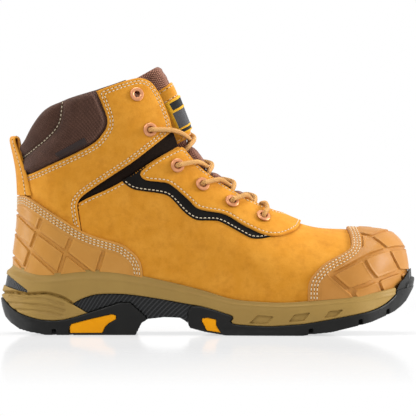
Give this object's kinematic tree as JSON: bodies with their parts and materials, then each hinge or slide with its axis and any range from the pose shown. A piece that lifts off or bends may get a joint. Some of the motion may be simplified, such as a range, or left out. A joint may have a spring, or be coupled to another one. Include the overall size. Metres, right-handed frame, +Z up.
{
  "type": "safety boot",
  "caption": "Ankle-high lace-up safety boot with a padded collar and tongue, moulded toe and heel guards, an inner toecap and a two-part treaded outsole with a cushioning midsole.",
  "frame": {"origin": "on the ground, under the middle of the boot's bounding box", "axes": "+X towards the toe, +Y towards the inner (medial) side of the foot, +Z up"},
  "size_m": [0.3123, 0.1159, 0.1999],
  "materials": {
    "black_rubber": "moulded black rubber, semi-matt",
    "olive_foam": "moulded olive-tan sole foam, satin",
    "carbon_grey": "dark grey moulded plastic with a fine woven pattern",
    "yellow_insert": "bright yellow moulded insert, satin",
    "plate_steel": "thin spring steel sheet",
    "board": "fibre board",
    "footbed_foam": "fabric-covered foam",
    "toecap_steel": "painted pressed steel",
    "counter_board": "thermoplastic stiffener sheet",
    "lining_mesh": "dark knitted lining",
    "nubuck": "honey nubuck leather",
    "toe_rubber": "tan moulded rubber",
    "guard_tan": "tan moulded thermoplastic, satin",
    "flex_fabric": "near-black brown stretch fabric",
    "black_trim": "black coated leather",
    "collar_mesh": "dark brown padded mesh",
    "label_fabric": "dark woven tape",
    "badge": "yellow and dark grey moulded badge",
    "copper": "copper-coloured eyelet metal",
    "lace_cord": "tan braided cord",
    "lace_tip": "clear-coated tan tip"
  },
  "bodies": {
    "boot": {"outsole_heel": "black_rubber", "outsole_forefoot": "black_rubber", "arch_shank": "carbon_grey", "midsole": "olive_foam", "heel_accent": "carbon_grey", "heel_insert_lateral": "yellow_insert", "heel_insert_medial": "yellow_insert", "ball_insert_lateral": "yellow_insert", "ball_insert_medial": "yellow_insert", "protective_plate": "plate_steel", "insole_board": "board", "steel_toe_cap": "toecap_steel", "heel_counter": "counter_board", "lining": "lining_mesh", "vamp": "nubuck", "toe_scuff_cap": "toe_rubber", "heel_guard": "guard_tan", "ankle_quarter_lateral": "nubuck", "ankle_quarter_medial": "nubuck", "flex_panel_lateral": "flex_fabric", "flex_panel_medial": "flex_fabric", "wave_trim_lateral": "black_trim", "wave_trim_medial": "black_trim", "eyestay": "nubuck", "collar": "collar_mesh", "pull_loop": "nubuck", "side_label": "label_fabric", "eyelets_lateral": "copper", "eyelets_medial": "copper", "lace": "lace_cord", "lace_tail_lateral": "lace_cord", "lace_tail_medial": "lace_cord", "lace_tip_lateral": "lace_tip", "lace_tip_medial": "lace_tip"},
    "tongue": {"tongue_pad": "collar_mesh", "tongue_overlay": "nubuck", "tongue_badge": "badge", "gusset_lateral": "flex_fabric", "gusset_medial": "flex_fabric"},
    "footbed": {"footbed": "footbed_foam"}
  },
  "joints": [
    {"name": "tongue_swing", "type": "hinge", "parent": "boot", "child": "tongue", "pos_m": [0.062, 0, 0.08], "axis": [0, -1, 0], "range_deg": [0, 5]},
    {"name": "footbed_lift", "type": "hinge", "parent": "boot", "child": "footbed", "pos_m": [0.141, 0, 0.038], "axis": [0, 1, 0], "range_deg": [0, 4]}
  ]
}
